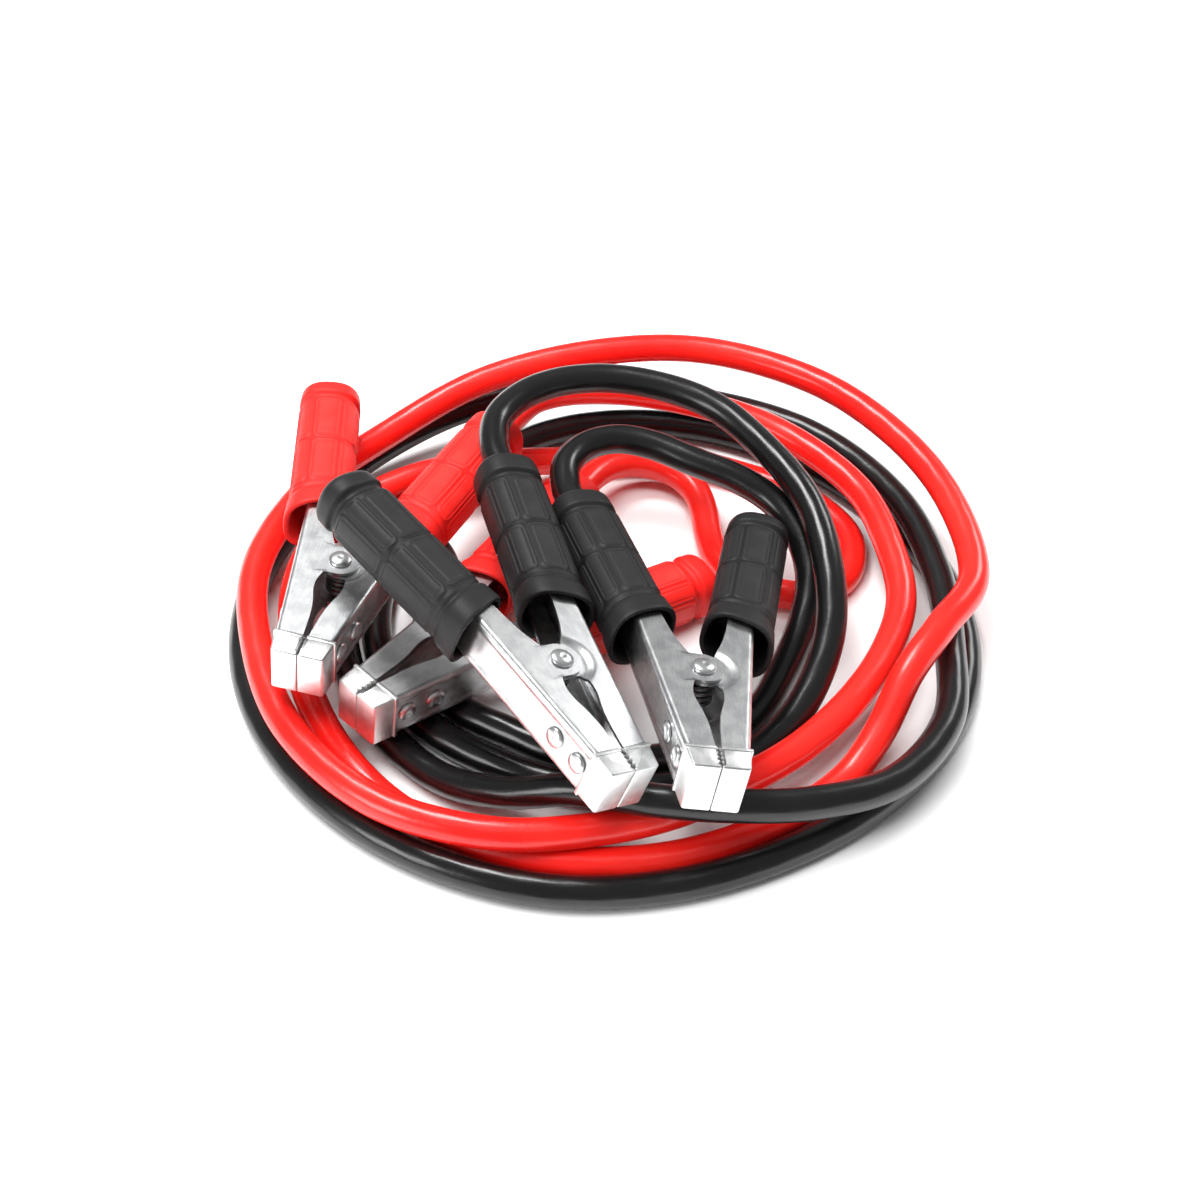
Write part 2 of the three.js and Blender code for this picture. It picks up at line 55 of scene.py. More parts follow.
# the cables' routes round the coil's middle: clock angle in degrees, radius, height
BLACK_ROUTE = [
    # from black clamp 1 over the back, down the right, then round the inside on the floor
    (124, .086, .0725), (114, .096, .073), (103, .103, .0725), (90, .107, .071), (76, .107, .0695),
    (60, .106, .0665), (44, .102, .062), (20, .101, .055), (358, .102, .046), (340, .106, .034),
    (321, .107, .019), (302, .104, .009), (280, .101, .008), (258, .097, .008), (238, .095, .008),
    (222, .097, .008), (207, .099, .008), (193, .101, .008), (176, .104, .008), (160, .108, .008),
    (144, .114, .008), (130, .122, .008), (116, .134, .008), (100, .148, .008),
    # the outermost turn on the floor
    (84, .156, .0075), (66, .16, .0075), (48, .161, .0075), (30, .163, .0075), (12, .166, .0075),
    (354, .167, .0075), (338, .165, .0075), (320, .158, .0075), (302, .153, .0075), (282, .152, .0075),
    (262, .153, .0075), (242, .153, .0075), (222, .155, .0075), (202, .159, .0075), (184, .163, .0075),
    (166, .166, .0075), (148, .167, .009), (130, .166, .015),
    # a second outer turn on top of it, then inwards over the red at the front
    (112, .165, .021), (92, .163, .022), (72, .163, .022), (50, .166, .022), (28, .163, .022),
    (8, .158, .022), (350, .158, .022), (334, .165, .022), (318, .163, .025), (304, .152, .031),
    (292, .141, .035), (280, .13, .035), (266, .119, .031), (250, .116, .018), (234, .115, .009),
    (212, .115, .008), (196, .116, .009),
    # turned back on the left, then round the inside to black clamp 2
    (184, .118, .015), (175, .12, .0195), (167, .121, .022), (160, .119, .0235), (154, .108, .024),
    (153, .091, .0235), (160, .077, .021), (170, .076, .016), (184, .08, .0105), (198, .082, .008),
    (208, .083, .008), (222, .08, .008), (238, .077, .008), (258, .08, .008), (280, .084, .008),
    (300, .088, .008), (320, .088, .008), (338, .088, .013), (352, .092, .022), (4, .096, .031),
    (16, .096, .039), (28, .093, .045), (40, .086, .05), (56, .079, .053), (72, .079, .0555),
    (84, .078, .057), (95, .072, .0575), (105, .06, .0575),
]
RED_ROUTE = [
    # from red clamp 2 on the floor inside the coil, then the floor turn
    (86, .108, .017), (79, .114, .0145), (71, .114, .012), (64, .108, .0095), (58, .097, .008),
    (51, .084, .0075), (42, .075, .0075), (31, .073, .0075), (20, .08, .0075), (13, .098, .0075),
    (16, .12, .0075), (27, .136, .0075), (42, .138, .0075), (58, .132, .0075), (76, .129, .008),
    (96, .121, .01), (116, .117, .02), (134, .126, .024), (150, .138, .022), (168, .141, .022),
    (190, .138, .022), (212, .137, .012), (234, .138, .0075), (258, .138, .0075), (280, .138, .0075),
    (300, .138, .0075), (318, .14, .009), (328, .141, .018), (338, .143, .032), (348, .152, .038),
    # over the top at the back, then the outer red on the left and front
    (0, .168, .038), (18, .173, .04), (34, .175, .043), (52, .177, .045), (72, .174, .046),
    (90, .164, .046), (112, .159, .04), (134, .157, .03), (152, .16, .028), (172, .16, .027),
    (190, .155, .025), (210, .153, .023), (232, .149, .022), (252, .141, .022), (268, .131, .0202),
    (284, .125, .02), (300, .12, .02), (314, .121, .021), (330, .124, .022), (346, .13, .022),
    (0, .137, .024),
    # the inner turn up the right and over to red clamp 1
    (14, .14, .026), (32, .146, .028), (54, .146, .032), (74, .14, .038), (92, .134, .044),
    (104, .128, .046),
]

CRISP_ANGLE = math.radians(38)
SOFT_EDGE, SOFT_ANGLE = .00018, math.radians(50)  # the bevel on folded sheet, metres

# clamp sizes, millimetres
GAP, SHEET, ARM_WIDTH, JAW_REACH, NOSE_DEPTH = .3, 1.3, 22, 60, 11
MOUTH_BACK, HANDLE_INSET, SEAM_BACK = 31, 5.5, 12
SEAM_X = JAW_REACH - SEAM_BACK
ARM_TURN, HANDLE_TURN, MOUTH_TURN = math.radians(9), math.radians(14), math.radians(12.5)
CHANNEL_DEPTH, FOLD_RADIUS, TAIL = 11, 2.2, 25
EAR_RADIUS, EAR_ARC, EAR_ROOT, EAR_FLAT, EAR_STEP_END = 8.6, (32, -212), 12, 10.8, 14.4
JAW_EDGE = ((SEAM_X - GAP, 1.2), (30, 2.6), (17, 7))  # corners: x, height
REAR_EDGE = ((-19, 13), (-39, CHANNEL_DEPTH), (-MOUTH_BACK - TAIL, 9))  # x, depth under the back
PRESSING_DEPTH, PRESSING_BORDER, PRESSING_EDGE, PRESSING_START = .45, 3.6, .8, (-26, -22)
PROUD, MEETING_GAP, NOTCH_HEIGHT = .25, .15, 1.2
TEETH, TOOTH_PITCH, TEETH_START = 4, 2.4, 1.4
LIP_START, LIP_END, LIP_FOOT, LIP_PROUD = .1, 1.9, .9, .3
TIP_ROUND, TOOTH_ROUND, BACK_ROUND, LIP_ROUND, TONGUE_ROUND = .9, .3, 1.3, .35, .4
NOSE_END_ROUND, LIP_END_ROUND = .7, .3
TONGUE_FRONT, TONGUE_BACK, TONGUE_THICK, TONGUE_HALF = 3, 24, 1.6, 6.5
PIN_RADIUS, PIN_HEAD, PIN_RISE, PIN_SEAT = 2.7, 5, 2.1, .15
SPACER_HALF, SPACER_EDGE = 7.5, .1
HEAD_RIM, DIMPLE_DEPTH, DIMPLE_RADIUS, DIMPLE_FADE = .35, .3, .24, .16  # two as shares of the head
RIVET_HEAD, RIVET_RISE, RIVET_SHANK, RIVET_DEPTH, RIVET_SUNK, RIVETS = 4.4, 1.9, 1.8, 4.2, .2, (43, 29)
SPRING_WIRE, SPRING_RADIUS, SPRING_PITCH, SPRING_TURNS, SPRING_LEG = 2.1, 5.6, 2.6, 4, 15
SPRING_START, SPRING_SHORT, LEG_START = 150, 60, 1.2
CABLE_RADIUS, CABLE_HOLD, CABLE_LEAD = 7, 14, (3, 16)
GRIP_LENGTH, GRIP_WIDTH, GRIP_HEIGHT = 93, 28.5, 26.5
CAP_LENGTH, CAP_PROUD, DOME_RISE, DOME_POWER = 15, .1, 7.5, .86
BORE_ROOM, BORE_LIP, BORE_FACE, END_ROUND = .25, 2.2, 2.5, 4.5
BODY_FRONT, BODY_BACK, BODY_RINGS, GRIP_SIDES = 15.5, 3.7, 96, 160
SQUARENESS, SQUARE_BETWEEN = .55, (9, 12.5)  # half widths over which a section turns from round
ROUND_UNDER, ROUND_FADE = 9, 1.6
RELIEF_FRONT, RELIEF_BACK, RELIEF_FADE = (14, 16), 2.4, 1.5
SLANT_END, SLANT_FADE = 30, 24
# the grip's groove behind its cap: distance past the cap's edge, half width over the body's
CAP_PROFILE = ((3.6, .35), (2.9, .3), (2.3, .05), (1.7, -.6), (1.1, -1.25), (.4, -1.45), (-.4, -1.45),
               (-1.1, -1.3), (-1.8, -.55), (-2.4, -.1), (-3, 0))
# its ring groove, collar, lip and inside: distance from the mouth, half width over the body's
SKIRT_PROFILE = ((14.6, 0), (13.8, -.1), (13.1, -.5), (12.4, -.6), (11.6, -.1), (10.8, .6), (9.8, .9),
                 (8, 1.1), (6, 1.25), (4, 1.4), (2, 1.5), (.8, 1.5), (.25, 1.25), (0, .6), (.1, -.2),
                 (.5, -.65), (1.2, -.9), (3, -1.1), (7, -1.3), (14, -1.6), (22, -2.2))
PANEL_COLUMNS, PANEL_ROWS, PANEL_HALF_WIDTH, PANEL_HALF_LENGTH = 8, (30.6, 60.9), 4.75, 14.3
PANEL_CORNER, PANEL_RISE, PANEL_LINE, PANEL_GROUND = 2.8, .5, .26, .16
# SHADE_PER_MM scales a grip's relief into the share that paints shade into its grooves and sets where its
# panels rub
LINE_IN, LINE_WIDTH, SHADE_PER_MM = 1.5, .3, 1.8
# along a cable, metres: its rings, the twist of its strands, how finely scuffs run along it
SPACING, JACKET_SIDES, LAY_LENGTH, STRANDS, SCUFF_STRETCH = .003, 28, .11, 6, 90


def step(value, low, high):
    """0 below low, 1 above high, and a smooth S between: t * t * (3 - 2 t)."""
    t = np.clip((value - low) / (high - low), 0, 1)
    return t * t * (3 - 2 * t)


def unit(vectors):
    """Each vector divided by its length."""
    return vectors / np.linalg.norm(vectors, axis=-1, keepdims=True)


def back_at(x):
    """Height of an arm's back over the clamp's centre line: the nose depth, rising at the arm's angle."""
    return NOSE_DEPTH + (JAW_REACH - x) * math.tan(ARM_TURN)


def pose_of(name):
    """The clamp's turn, heading about z times pitch about y times roll about x, and its place."""
    _, _, place, *turns = CLAMPS[name]
    h, p, r = np.radians(turns)
    about_z = np.array(((math.cos(h), -math.sin(h), 0), (math.sin(h), math.cos(h), 0), (0, 0, 1)))
    about_y = np.array(((math.cos(p), 0, math.sin(p)), (0, 1, 0), (-math.sin(p), 0, math.cos(p))))
    about_x = np.array(((1, 0, 0), (0, math.cos(r), -math.sin(r)), (0, math.sin(r), math.cos(r))))
    return about_z @ about_y @ about_x, COIL_MIDDLE + place


def placed(name, points):
    """Points of a clamp's own shapes, millimetres, put where that clamp lies, in metres."""
    turn, place = pose_of(name)
    return points @ turn.T * MM + place


def smooth_line(points, spacing):
    """Centripetal Catmull-Rom curve through the points, its ends led on straight, then points at
    even distances along it."""
    p = np.asarray(points, float)
    p = np.vstack((2 * p[0] - p[1], p, 2 * p[-1] - p[-2]))
    root = np.sqrt(np.linalg.norm(np.diff(p, axis=0), axis=1))[:, None]
    r0, r1, r2 = root[:-2], root[1:-1], root[2:]
    a, b, c, d = p[:-3], p[1:-2], p[2:-1], p[3:]
    leave = ((b - a) / r0 - (c - a) / (r0 + r1) + (c - b) / r1) * r1
    arrive = ((c - b) / r1 - (d - b) / (r1 + r2) + (d - c) / r2) * r1
    t = np.arange(16)[None, :, None] / 16
    square, cube = -3 * b + 3 * c - 2 * leave - arrive, 2 * b - 2 * c + leave + arrive
    line = b[:, None] + leave[:, None] * t + square[:, None] * t ** 2 + cube[:, None] * t ** 3
    line = np.vstack((line.reshape(-1, 3), p[-2]))
    along = np.concatenate(([0], np.cumsum(np.linalg.norm(np.diff(line, axis=0), axis=1))))
    even = np.linspace(0, along[-1], round(along[-1] / spacing) + 1)
    return np.stack([np.interp(even, along, line[:, k]) for k in range(3)], -1)


def full_turn(sides):
    """Angles at even steps round a circle."""
    return np.arange(sides) * 2 * math.pi / sides


def tube_rings(line, radius, sides):
    """Circles across a line: its level direction times the cosine, the direction over it times
    the sine."""
    way = unit(np.gradient(line, axis=0))
    level = unit(np.cross(way, (0, 0, 1)))
    over = np.cross(level, way)
    turn = full_turn(sides)
    spoke = np.cos(turn)[:, None] * level[:, None] + np.sin(turn)[:, None] * over[:, None]
    return line[:, None] + spoke * radius


def shell(name, rings, flat_ends=False, **attributes):
    """A closed surface: quads between neighbouring rings, and each end ring closed by a fan to its
    middle, or by one flat face. Attributes hold one value or vector for each point of the rings."""
    rows, cols = rings.shape[:2]
    index = np.arange(rows * cols).reshape(rows, cols)
    beside = np.roll(index, -1, axis=1)
    quads = np.stack((index[:-1], index[1:], beside[1:], beside[:-1]), -1).reshape(-1, 4)
    points, faces = rings.reshape(-1, 3), quads.tolist()
    if flat_ends:
        faces += [index[0].tolist(), index[-1][::-1].tolist()]
    else:
        points = np.vstack((points, rings[0].mean(0), rings[-1].mean(0)))
        first, last = rows * cols, rows * cols + 1
        for ring, other, tip in ((beside[0], index[0], first), (index[-1], beside[-1], last)):
            faces += np.stack((np.full(cols, tip), ring, other), -1).tolist()
    mesh = bpy.data.meshes.new(name)
    mesh.from_pydata(points.tolist(), [], faces)
    for key, value in attributes.items():
        flat = value.reshape(rows * cols, -1)
        if not flat_ends:
            middles = [value[end].reshape(cols, -1).mean(0) for end in (0, -1)]
            flat = np.vstack((flat, *middles))
        kind, field = ("FLOAT", "value") if flat.shape[1] == 1 else ("FLOAT_VECTOR", "vector")
        values = flat.astype(np.float32).ravel()
        mesh.attributes.new(key, kind, "POINT").data.foreach_set(field, values)
    return finished_mesh(name, mesh)


def finished_mesh(name, mesh):
    """Faces turned outwards and shaded smooth, with edges over 38 degrees kept crisp."""
    work = bmesh.new()
    work.from_mesh(mesh)
    bmesh.ops.recalc_face_normals(work, faces=work.faces)
    work.to_mesh(mesh)
    work.free()
    mesh.shade_smooth()
    mesh.set_sharp_from_angle(angle=CRISP_ANGLE)
    piece = bpy.data.objects.new(name, mesh)
    bpy.context.scene.collection.objects.link(piece)
    return piece


def one_mesh(name, pieces):
    """Several closed surfaces of one real piece, joined into a single object."""
    bpy.ops.object.select_all(action="DESELECT")
    for piece in pieces:
        piece.select_set(True)
    bpy.context.view_layer.objects.active = pieces[0]
    bpy.ops.object.join()
    pieces[0].name = pieces[0].data.name = name
    return pieces[0]


# ---- finishes


class Wire:
    """A value in a shader. Sums, differences and products of it add Math nodes."""

    def __init__(self, tree, socket):
        self.tree, self.socket = tree, socket

    def math(self, operation, first, second):
        node = self.tree.nodes.new("ShaderNodeMath")
        node.operation = operation
        for socket, value in zip(node.inputs, (first, second)):
            feed(self.tree, socket, value)
        return Wire(self.tree, node.outputs[0])

    def __add__(self, other):
        return self.math("ADD", self, other)

    def __radd__(self, other):
        return self.math("ADD", other, self)

    def __sub__(self, other):
        return self.math("SUBTRACT", self, other)

    def __rsub__(self, other):
        return self.math("SUBTRACT", other, self)

    def __mul__(self, other):
        return self.math("MULTIPLY", self, other)

    def __rmul__(self, other):
        return self.math("MULTIPLY", other, self)


def feed(tree, socket, value):
    """Links a Wire to a socket, or sets the socket's own value."""
    if isinstance(value, Wire):
        tree.links.new(value.socket, socket)
    else:
        socket.default_value = value


class Finish:
    """A material being built round one Principled shader. Its methods take Wires or numbers."""

    def __init__(self, name, **fixed):
        self.material = bpy.data.materials.new(name)
        self.material.use_nodes = True
        self.tree = self.material.node_tree
        self.shader = self.tree.nodes["Principled BSDF"]
        for socket, value in fixed.items():
            self.shader.inputs[socket.replace("_", " ")].default_value = value

    def node(self, kind, settings, values, output=0):
        """Any other node: its settings are set first, then the values or links of its sockets."""
        node = self.tree.nodes.new(kind)
        for key, value in settings.items():
            setattr(node, key, value)
        for socket, value in values.items():
            feed(self.tree, node.inputs[socket], value)
        return Wire(self.tree, node.outputs[output])

    def place(self):
        """The point in metres, in the frame that every piece shares."""
        return self.node("ShaderNodeTexCoord", {}, {}, "Object")

    def own(self, name, output="Vector"):
        """An attribute that the piece carries."""
        return self.node("ShaderNodeAttribute", {"attribute_name": name}, {}, output)

    def noise(self, where, scale, detail=3.0, rough=.5):
        """Cloudy noise; the scale is in features per unit of where."""
        values = {"Vector": where, "Scale": scale, "Detail": detail, "Roughness": rough}
        return self.node("ShaderNodeTexNoise", {}, values)

    def stretched(self, where, factors):
        """A point with each of its coordinates times its own factor."""
        return self.node("ShaderNodeVectorMath", {"operation": "MULTIPLY"}, {0: where, 1: factors})

    def between(self, value, low, high):
        """0 below low, 1 above high, and a smooth S between."""
        values = {"Value": value, "From Min": low, "From Max": high}
        return self.node("ShaderNodeMapRange", {"interpolation_type": "SMOOTHSTEP"}, values)

    def colours(self, share, first, second):
        """The first colour going over to the second as the share grows from 0 to 1."""
        factor, a, b, result = 0, 6, 7, 2  # the colour sockets of a Mix node
        values = {factor: share, a: first, b: second}
        return self.node("ShaderNodeMix", {"data_type": "RGBA"}, values, result)

    def bump(self, height, strength, distance):
        """Relief too fine for the mesh."""
        values = {"Strength": strength, "Distance": distance, "Height": height}
        feed(self.tree, self.shader.inputs["Normal"], self.node("ShaderNodeBump", {}, values))

    def wear(self, **links):
        """What changes over the surface, by the shader's socket."""
        for socket, value in links.items():
            feed(self.tree, self.shader.inputs[socket.replace("_", " ")], value)


def jacket_finish(name, colour, deep, dusty):
    """Glossy PVC: colour shifts slowly along the cable, the gloss dulls where it was handled, and
    the twist of the strands shows as a very faint wave."""
    f = Finish(name, IOR=1.46, Coat_Roughness=.14)
    where, run = f.place(), f.own("run")
    slow, fine = f.noise(where, 14.0, 2.0), f.noise(where, 420.0, 3.0, .6)
    scuff = f.between(f.noise(f.stretched(run, (60.0, 60.0, 9.0)), 4.0, 5.0, .65), .56, .74)
    base = f.colours(f.between(slow, .35, .68), deep, colour)
    f.wear(Base_Color=f.colours(scuff * .22, base, dusty),
           Roughness=.24 + slow * .08 + scuff * .16, Coat_Weight=.2 - scuff * .15)
    f.bump(fine * .25 + f.own("lay", "Fac") * .5 + f.noise(where, 90.0, 2.0) * .6, .2, .0004)
    return f.material


def grip_finish(name, colour, deep, worn):
    """Satin moulded PVC: a fine spark-eroded grain, paler where the raised panels rub, and painted
    shade that darkens the grooves between them."""
    f = Finish(name, IOR=1.42, Coat_Roughness=.4)
    where, raised = f.own("rest"), f.own("relief", "Fac")
    grain, cloud = f.noise(where, 1.9, 3.0, .6), f.noise(where, .09, 3.0)
    rub = f.between(raised + (cloud - .5) * .7, .45, 1.1)
    # painted shade: the colour darkens towards the deep colour where the relief sinks into the grooves and
    # fine lines
    base = f.colours(f.between(raised, -.7, .35), deep, colour)
    f.wear(Base_Color=f.colours(rub * .5, base, worn), Roughness=.46 + grain * .14 - rub * .08,
           Coat_Weight=.05 + rub * .06)
    f.bump(grain + f.noise(where, .7, 2.0) * .5, .35, .00025)
    return f.material


def zinc_finish(name, pale, grey, low_rough, streak, relief=.16):
    """Zinc-plated sheet steel: rolling streaks along the piece, a cloudy plating of uneven gloss,
    fine scratches, and small dull spots."""
    f = Finish(name, IOR=1.45)
    where = f.own("rest")
    rolled = f.noise(f.stretched(where, (.05, 1.7, 1.7)), 2.2, 4.0, .6)
    cloud = f.noise(where, .16, 4.0, .6)
    scratch = f.between(f.noise(f.stretched(where, (.35, .09, .35)), 3.1, 5.0, .7), .6, .72)
    share = f.between(cloud + (rolled - .5) * streak, .32, .7)
    f.wear(Base_Color=f.colours(share, grey, pale), Metallic=1.0 - scratch * .08,
           Roughness=low_rough + cloud * .14 + rolled * .1 + scratch * .1)
    f.bump(rolled * .6 + f.noise(where, 1.4, 3.0) * .5 + scratch * .3, relief, .0003)
    return f.material


finishes = {
    "red_jacket": jacket_finish(
        "red_jacket", colour=(.9, .018, .012, 1), deep=(.78, .008, .006, 1), dusty=(.93, .14, .11, 1)),
    "black_jacket": jacket_finish(
        "black_jacket", colour=(.006, .006, .0064, 1), deep=(.003, .003, .0033, 1),
        dusty=(.03, .03, .031, 1)),
    # a grip's deep colour is the painted shade of its grooves
    "red_grip": grip_finish(
        "red_grip", colour=(.86, .018, .014, 1), deep=(.55, .006, .005, 1), worn=(.92, .06, .045, 1)),
    "black_grip": grip_finish(
        "black_grip", colour=(.012, .012, .0125, 1), deep=(.002, .002, .0022, 1), worn=(.03, .03, .031, 1)),
    "arm": zinc_finish(
        "arm", pale=(.8, .81, .81, 1), grey=(.62, .63, .64, 1), low_rough=.24, streak=.9),
    "nose_plate": zinc_finish(
        "nose_plate", pale=(.88, .88, .87, 1), grey=(.74, .75, .75, 1), low_rough=.28, streak=.6),
    "rivet": zinc_finish(
        "rivet", pale=(.86, .87, .87, 1), grey=(.7, .71, .72, 1), low_rough=.2, streak=.3, relief=.04),
    "spring": zinc_finish(
        "spring", pale=(.34, .35, .36, 1), grey=(.16, .165, .17, 1), low_rough=.24, streak=.5),
}


# ---- pieces of a clamp, in its own millimetres


def dressed(piece, node, slot, body):
    """The piece stands for a CAD node, takes the finish of its slot and rides on its body."""
    piece.data.materials.clear()
    piece.data.materials.append(finishes[slot])
    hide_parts(node)
    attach(piece, body)
    return piece


def clamp_shell(name, clamp, rings, flat_ends=False, **attributes):
    """A shell given in a clamp's millimetres, which also keeps them as its own attribute."""
    return shell(name, placed(clamp, rings), flat_ends, rest=rings, **attributes)


def rounded(points, passes):
    """Cuts each corner of an open line a quarter of the way along its sides, as often as said."""
    for _ in range(passes):
        a, b = points[:-1], points[1:]
        cut = np.stack((.75 * a + .25 * b, .25 * a + .75 * b), 1).reshape(-1, points.shape[1])
        points = np.vstack((points[:1], cut, points[-1:]))
    return points


def resampled(points, count):
    """Points at even distances along a line."""
    along = np.concatenate(([0], np.cumsum(np.linalg.norm(np.diff(points[:, -2:], axis=0), axis=1))))
    even = np.linspace(0, along[-1], count)
    return np.stack([np.interp(even, along, points[:, k]) for k in range(points.shape[1])], -1)


def free_edge():
    """The side plate's free edge from the nose's seam to inside the grip: three columns, the
    station on the fold that each point belongs to, then its x and y. It falls from the jaw to the
    ear, runs round the ear as an arc, and climbs behind it to the channel's depth."""
    ear_points, edge_points, softenings = 26, 40, 3
    start, end = np.radians(EAR_ARC)
    turn = np.linspace(start, end, ear_points)
    station = np.linspace(EAR_ROOT, -EAR_ROOT, ear_points)
    ear = np.stack((station, EAR_RADIUS * np.cos(turn), EAR_RADIUS * np.sin(turn)), -1)
    front = np.array([(x, x, height) for x, height in JAW_EDGE])
    rear = np.array([(x, x, back_at(x) - depth) for x, depth in REAR_EDGE])
    front = rounded(np.vstack((front, ear[:1])), softenings)
    rear = rounded(np.vstack((ear[-1:], rear)), softenings)
    return np.vstack((resampled(front, edge_points), ear[1:-1], resampled(rear, edge_points)))


def arm_sections(side, ears_inside):
    """A channel folded from sheet. Each section runs up one side plate from its free edge, over
    the rounded fold, across the back and down the other side, then back along the inner face. The
    back has a shallow pressed panel between two creases. Inner ears are set in by a smooth step
    in the distance from the pin's axis."""
    edge = free_edge()
    half = ARM_WIDTH / 2
    turn = np.linspace(0, math.pi / 2, 6)
    across = np.linspace(0, 1, 22)[:-1]
    flat = np.linspace(1, -1, 27)[1:-1]

    def face(inset):
        """The outer face, or the inner one where inset is the sheet's thickness."""
        corner = FOLD_RADIUS - inset
        wall, top = half - inset, back_at(edge[:, 0]) - inset
        plate_x = edge[:, 1:2] + (edge[:, :1] - edge[:, 1:2]) * across
        plate_y = edge[:, 2:3] + (top[:, None] - corner - edge[:, 2:3]) * across
        plate_z = np.full_like(plate_x, wall)
        if ears_inside:
            near_pin = step(EAR_STEP_END - np.hypot(plate_x, plate_y), 0, EAR_STEP_END - EAR_FLAT)
            plate_z -= (SHEET + GAP) * near_pin
        bend_x = np.repeat(edge[:, :1], len(turn), 1)
        bend_y = top[:, None] - corner + corner * np.sin(turn)
        bend_z = np.broadcast_to(wall - corner + corner * np.cos(turn), bend_x.shape)
        back_x = np.repeat(edge[:, :1], len(flat), 1)
        back_z = np.broadcast_to((wall - corner) * flat, back_x.shape)
        inside = step(half - PRESSING_BORDER - np.abs(back_z), 0, PRESSING_EDGE)
        back_y = top[:, None] - PRESSING_DEPTH * inside * step(back_x, *PRESSING_START)
        x = np.hstack((plate_x, bend_x, back_x, bend_x[:, ::-1], plate_x[:, ::-1]))
        y = np.hstack((plate_y, bend_y, back_y, bend_y[:, ::-1], plate_y[:, ::-1]))
        z = np.hstack((plate_z, bend_z, back_z, -bend_z[:, ::-1], -plate_z[:, ::-1]))
        return np.stack((x, y * side, z), -1)

    return np.concatenate((face(0), face(SHEET)[:, ::-1]), 1)


def with_soft_edges(piece):
    """A small live bevel along the sharp edges of folded sheet."""
    bevel = piece.modifiers.new("soft_edges", "BEVEL")
    bevel.width, bevel.segments, bevel.limit_method = SOFT_EDGE, 2, "ANGLE"
    bevel.angle_limit = SOFT_ANGLE
    bevel.harden_normals = True
    return piece


def block_rings(outline, low, high, radius):
    """A flat outline carried from low to high along z, drawn in towards its middle at both ends by
    a quarter round of the radius."""
    turn = np.linspace(0, math.pi / 2, 4)
    rise, drawn = radius * (1 - np.cos(turn)), radius * (1 - np.sin(turn))
    level = np.concatenate((low + rise, (high - rise)[::-1]))
    inset = np.concatenate((drawn, drawn[::-1]))
    ahead, behind = np.roll(outline, -1, 0), np.roll(outline, 1, 0)
    along = unit(ahead - behind)
    inward = np.stack((-along[:, 1], along[:, 0]), -1)
    area = np.sum(outline[:, 0] * ahead[:, 1] - ahead[:, 0] * outline[:, 1])
    inward *= np.sign(area)
    flat = outline[None] + inward[None] * inset[:, None, None]
    return np.concatenate((flat, np.broadcast_to(level[:, None, None], flat.shape[:2] + (1,))), -1)


def closed_rounded(points, radius, steps=4):
    """Each corner of a closed outline replaced by a curve: the quadratic curve from a point the
    radius before the corner to one the radius after it, drawn towards the corner. The radius
    takes at most 45% of a side."""
    before, after = np.roll(points, 1, 0), np.roll(points, -1, 0)

    def towards(other):
        length = np.linalg.norm(other - points, axis=1, keepdims=True)
        return points + (other - points) / length * np.minimum(radius, length * .45)

    start, end = towards(before), towards(after)
    t = np.linspace(0, 1, steps)[None, :, None]
    curve = start[:, None] * (1 - t) ** 2 + points[:, None] * 2 * t * (1 - t) + end[:, None] * t ** 2
    return curve.reshape(-1, 2)


def rounded_box(x0, x1, y0, y1, radius):
    """A rectangle's outline with its corners rounded."""
    corners = np.array(((x0, y0), (x1, y0), (x1, y1), (x0, y1)))
    return closed_rounded(corners, np.full((4, 1), radius))


def nose_cap(side):
    """The bright plate bent over a jaw's tip: a rounded block with small teeth along the meeting
    edge, a shallow lip at its seam, and a riveted tongue under the arm's back."""
    half, seam_top = ARM_WIDTH / 2 + PROUD, back_at(SEAM_X) + PROUD
    foot = JAW_REACH - TEETH_START - TOOTH_PITCH * np.arange(TEETH)
    notch = ((0, MEETING_GAP), (.42, NOTCH_HEIGHT), (.84, MEETING_GAP))  # share of a pitch, height
    teeth = np.stack([np.stack((foot - TOOTH_PITCH * share, np.full(TEETH, height)), -1)
                      for share, height in notch], 1).reshape(-1, 2)
    tip, seam = ((JAW_REACH, MEETING_GAP),), ((SEAM_X, MEETING_GAP), (SEAM_X, seam_top))
    corners = np.vstack((tip, teeth, seam, ((JAW_REACH, back_at(JAW_REACH) + PROUD),)))
    radius = np.full((len(corners), 1), TOOTH_ROUND)
    radius[0], radius[-1] = TIP_ROUND, BACK_ROUND
    lip_start, lip_end = SEAM_X + LIP_START, SEAM_X + LIP_END
    lip = rounded_box(lip_start, lip_end, LIP_FOOT, seam_top + LIP_PROUD, LIP_ROUND)
    down = np.array((-math.sin(ARM_TURN), -math.cos(ARM_TURN)))
    fore, aft = SEAM_X + TONGUE_FRONT, SEAM_X - TONGUE_BACK
    upper, lower = SHEET + GAP, SHEET + GAP + TONGUE_THICK
    tongue = np.array([(x + down[0] * depth, back_at(x) + down[1] * depth)
                       for x, depth in ((fore, upper), (aft, upper), (aft, lower), (fore, lower))])
    tongue = closed_rounded(tongue, np.full((4, 1), TONGUE_ROUND))
    mirror = np.array((1, side))
    return [block_rings(closed_rounded(corners, radius) * mirror, -half, half, NOSE_END_ROUND),
            block_rings(lip * mirror, -half - LIP_PROUD, half + LIP_PROUD, LIP_END_ROUND),
            block_rings(tongue * mirror, -TONGUE_HALF, TONGUE_HALF, TONGUE_ROUND)]


def turned_rings(profile, sides):
    """A profile of (radius, height) turned about the z axis."""
    turn = full_turn(sides)
    r, h = profile[:, 0, None], profile[:, 1, None]
    return np.stack((r * np.cos(turn), r * np.sin(turn), h + 0 * turn), -1)


